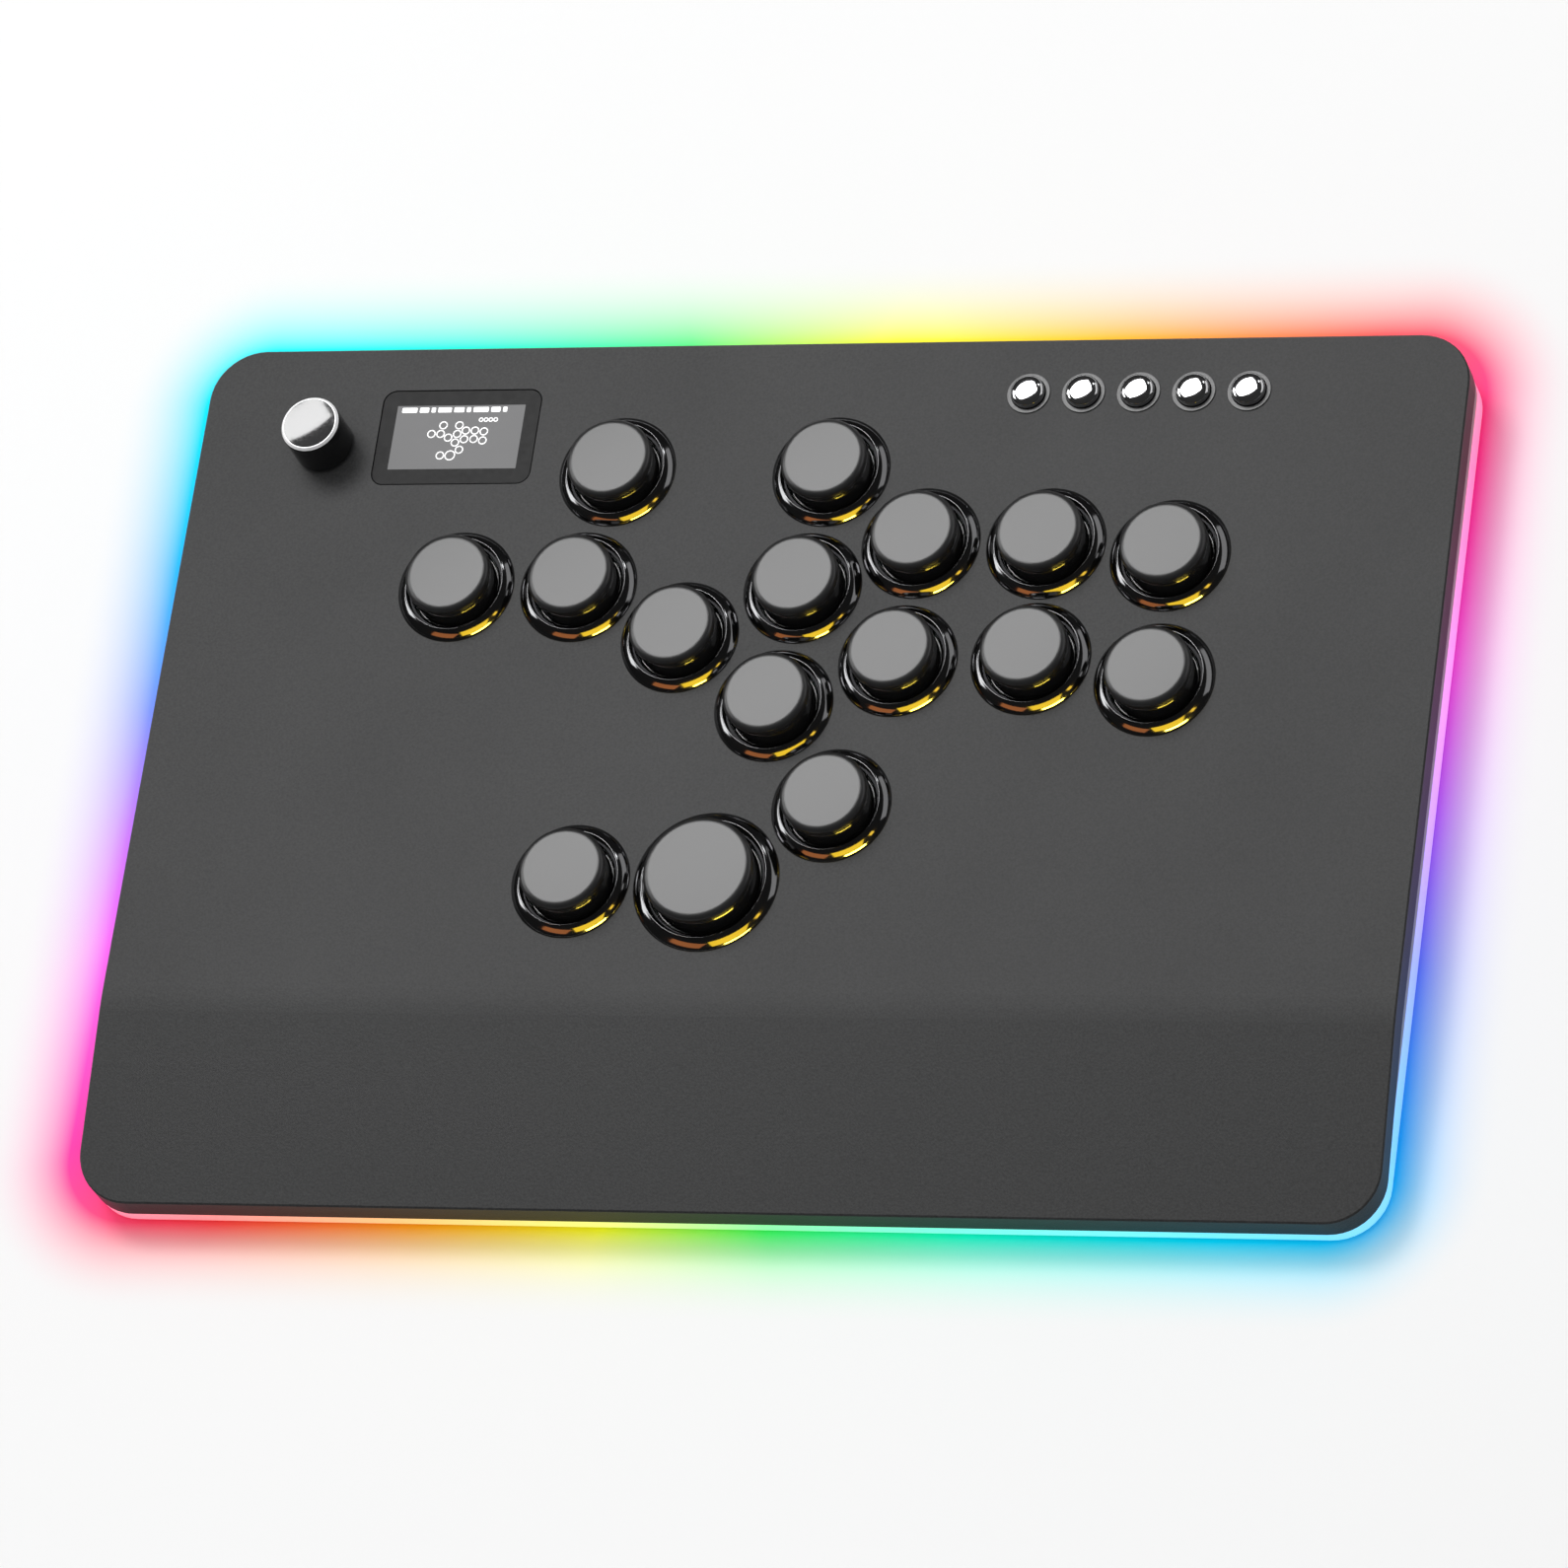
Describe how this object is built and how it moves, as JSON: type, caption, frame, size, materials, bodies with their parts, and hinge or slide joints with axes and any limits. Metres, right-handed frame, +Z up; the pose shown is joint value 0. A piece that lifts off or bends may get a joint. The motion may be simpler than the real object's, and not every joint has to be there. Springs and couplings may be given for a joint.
{
  "type": "all-button arcade controller",
  "caption": "Low all-button arcade control panel: a slim case with a sloped wrist rest, play buttons, small menu buttons, a turn-and-press knob, a small display and a glowing light ring.",
  "frame": {"origin": "on the table under the centre of the case", "axes": "+X to the player's right, +Y away from the player, +Z up"},
  "size_m": [0.292, 0.207, 0.0275],
  "materials": {
    "case_black": "satin black, fine grain",
    "diffuser": "frosted translucent acrylic, lit from inside",
    "cover_black": "matt black powder coat",
    "screw_steel": "black-zinc steel",
    "foot_rubber": "matt black rubber",
    "circuit_board": "solder mask over glass-fibre board",
    "chip_black": "moulded epoxy",
    "plated_shell": "nickel-plated shell",
    "nut_black": "moulded nylon",
    "switch_housing": "moulded nylon",
    "spring_steel": "drawn spring wire",
    "socket_black": "moulded nylon",
    "menu_bezel": "semi-gloss dark rim",
    "menu_cap": "plated dome",
    "tact_switch": "moulded case",
    "encoder_case": "die-cast",
    "nut_steel": "zinc-plated",
    "encoder_plunger": "moulded acetal",
    "shaft_steel": "turned",
    "knob_black": "turned, gloss black anodised",
    "knob_disc": "spun, concentric brushing",
    "window_glass": "smoked acrylic",
    "display_module": "display glass on a small board",
    "light_strip": "white flexible strip with lamps",
    "bezel": "piano black, moulded",
    "key_cap": "semi-gloss black, moulded"
  },
  "bodies": {
    "case": {"bezel_down": "bezel", "bezel_extra_1": "bezel", "bezel_extra_2": "bezel", "bezel_jump": "bezel", "bezel_kick_1": "bezel", "bezel_kick_2": "bezel", "bezel_kick_3": "bezel", "bezel_kick_4": "bezel", "bezel_left": "bezel", "bezel_nuts": "nut_black", "bezel_punch_1": "bezel", "bezel_punch_2": "bezel", "bezel_punch_3": "bezel", "bezel_punch_4": "bezel", "bezel_right": "bezel", "bezel_thumb_left": "bezel", "bezel_thumb_right": "bezel", "board_chips": "chip_black", "bottom_cover": "cover_black", "case_screws": "screw_steel", "display_module": "display_module", "encoder_body": "encoder_case", "encoder_nut": "nut_steel", "feet": "foot_rubber", "light_ring": "diffuser", "light_strip": "light_strip", "main_board": "circuit_board", "menu_bezels": "menu_bezel", "menu_switches": "tact_switch", "screen_window": "window_glass", "switch_housings": "switch_housing", "switch_sockets": "socket_black", "switch_springs": "spring_steel", "top_panel": "case_black", "usb_socket": "plated_shell"},
    "button_left": {"cap_left": "key_cap"},
    "button_down": {"cap_down": "key_cap"},
    "button_right": {"cap_right": "key_cap"},
    "button_punch_1": {"cap_punch_1": "key_cap"},
    "button_punch_2": {"cap_punch_2": "key_cap"},
    "button_punch_3": {"cap_punch_3": "key_cap"},
    "button_punch_4": {"cap_punch_4": "key_cap"},
    "button_kick_1": {"cap_kick_1": "key_cap"},
    "button_kick_2": {"cap_kick_2": "key_cap"},
    "button_kick_3": {"cap_kick_3": "key_cap"},
    "button_kick_4": {"cap_kick_4": "key_cap"},
    "button_extra_1": {"cap_extra_1": "key_cap"},
    "button_extra_2": {"cap_extra_2": "key_cap"},
    "button_thumb_left": {"cap_thumb_left": "key_cap"},
    "button_thumb_right": {"cap_thumb_right": "key_cap"},
    "button_jump": {"cap_jump": "key_cap"},
    "menu_1": {"menu_cap_1": "menu_cap"},
    "menu_2": {"menu_cap_2": "menu_cap"},
    "menu_3": {"menu_cap_3": "menu_cap"},
    "menu_4": {"menu_cap_4": "menu_cap"},
    "menu_5": {"menu_cap_5": "menu_cap"},
    "encoder_push": {"encoder_plunger": "encoder_plunger"},
    "encoder_dial": {"encoder_shaft": "shaft_steel", "encoder_knob": "knob_black", "knob_disc": "knob_disc"}
  },
  "joints": [
    {"name": "press_left", "type": "slide", "parent": "case", "child": "button_left", "axis": [0, 0, -1], "range_m": [0, 0.003], "stiffness_N_per_m": 120, "springref_m": -0.002, "deforming": ["switch_springs"]},
    {"name": "press_down", "type": "slide", "parent": "case", "child": "button_down", "axis": [0, 0, -1], "range_m": [0, 0.003], "stiffness_N_per_m": 120, "springref_m": -0.002, "deforming": ["switch_springs"]},
    {"name": "press_right", "type": "slide", "parent": "case", "child": "button_right", "axis": [0, 0, -1], "range_m": [0, 0.003], "stiffness_N_per_m": 120, "springref_m": -0.002, "deforming": ["switch_springs"]},
    {"name": "press_punch_1", "type": "slide", "parent": "case", "child": "button_punch_1", "axis": [0, 0, -1], "range_m": [0, 0.003], "stiffness_N_per_m": 120, "springref_m": -0.002, "deforming": ["switch_springs"]},
    {"name": "press_punch_2", "type": "slide", "parent": "case", "child": "button_punch_2", "axis": [0, 0, -1], "range_m": [0, 0.003], "stiffness_N_per_m": 120, "springref_m": -0.002, "deforming": ["switch_springs"]},
    {"name": "press_punch_3", "type": "slide", "parent": "case", "child": "button_punch_3", "axis": [0, 0, -1], "range_m": [0, 0.003], "stiffness_N_per_m": 120, "springref_m": -0.002, "deforming": ["switch_springs"]},
    {"name": "press_punch_4", "type": "slide", "parent": "case", "child": "button_punch_4", "axis": [0, 0, -1], "range_m": [0, 0.003], "stiffness_N_per_m": 120, "springref_m": -0.002, "deforming": ["switch_springs"]},
    {"name": "press_kick_1", "type": "slide", "parent": "case", "child": "button_kick_1", "axis": [0, 0, -1], "range_m": [0, 0.003], "stiffness_N_per_m": 120, "springref_m": -0.002, "deforming": ["switch_springs"]},
    {"name": "press_kick_2", "type": "slide", "parent": "case", "child": "button_kick_2", "axis": [0, 0, -1], "range_m": [0, 0.003], "stiffness_N_per_m": 120, "springref_m": -0.002, "deforming": ["switch_springs"]},
    {"name": "press_kick_3", "type": "slide", "parent": "case", "child": "button_kick_3", "axis": [0, 0, -1], "range_m": [0, 0.003], "stiffness_N_per_m": 120, "springref_m": -0.002, "deforming": ["switch_springs"]},
    {"name": "press_kick_4", "type": "slide", "parent": "case", "child": "button_kick_4", "axis": [0, 0, -1], "range_m": [0, 0.003], "stiffness_N_per_m": 120, "springref_m": -0.002, "deforming": ["switch_springs"]},
    {"name": "press_extra_1", "type": "slide", "parent": "case", "child": "button_extra_1", "axis": [0, 0, -1], "range_m": [0, 0.003], "stiffness_N_per_m": 120, "springref_m": -0.002, "deforming": ["switch_springs"]},
    {"name": "press_extra_2", "type": "slide", "parent": "case", "child": "button_extra_2", "axis": [0, 0, -1], "range_m": [0, 0.003], "stiffness_N_per_m": 120, "springref_m": -0.002, "deforming": ["switch_springs"]},
    {"name": "press_thumb_left", "type": "slide", "parent": "case", "child": "button_thumb_left", "axis": [0, 0, -1], "range_m": [0, 0.003], "stiffness_N_per_m": 120, "springref_m": -0.002, "deforming": ["switch_springs"]},
    {"name": "press_thumb_right", "type": "slide", "parent": "case", "child": "button_thumb_right", "axis": [0, 0, -1], "range_m": [0, 0.003], "stiffness_N_per_m": 120, "springref_m": -0.002, "deforming": ["switch_springs"]},
    {"name": "press_jump", "type": "slide", "parent": "case", "child": "button_jump", "axis": [0, 0, -1], "range_m": [0, 0.003], "stiffness_N_per_m": 120, "springref_m": -0.002, "deforming": ["switch_springs"]},
    {"name": "press_menu_1", "type": "slide", "parent": "case", "child": "menu_1", "axis": [0, 0, -1], "range_m": [0, 0.0005], "stiffness_N_per_m": 1500, "springref_m": -0.0004},
    {"name": "press_menu_2", "type": "slide", "parent": "case", "child": "menu_2", "axis": [0, 0, -1], "range_m": [0, 0.0005], "stiffness_N_per_m": 1500, "springref_m": -0.0004},
    {"name": "press_menu_3", "type": "slide", "parent": "case", "child": "menu_3", "axis": [0, 0, -1], "range_m": [0, 0.0005], "stiffness_N_per_m": 1500, "springref_m": -0.0004},
    {"name": "press_menu_4", "type": "slide", "parent": "case", "child": "menu_4", "axis": [0, 0, -1], "range_m": [0, 0.0005], "stiffness_N_per_m": 1500, "springref_m": -0.0004},
    {"name": "press_menu_5", "type": "slide", "parent": "case", "child": "menu_5", "axis": [0, 0, -1], "range_m": [0, 0.0005], "stiffness_N_per_m": 1500, "springref_m": -0.0004},
    {"name": "press_encoder", "type": "slide", "parent": "case", "child": "encoder_push", "axis": [0, 0, -1], "range_m": [0, 0.0005], "stiffness_N_per_m": 4000, "springref_m": -0.0004},
    {"name": "turn_encoder", "type": "hinge", "parent": "encoder_push", "child": "encoder_dial", "pos_m": [-0.116, 0.079, 0.02], "axis": [0, 0, -1], "continuous": true}
  ]
}
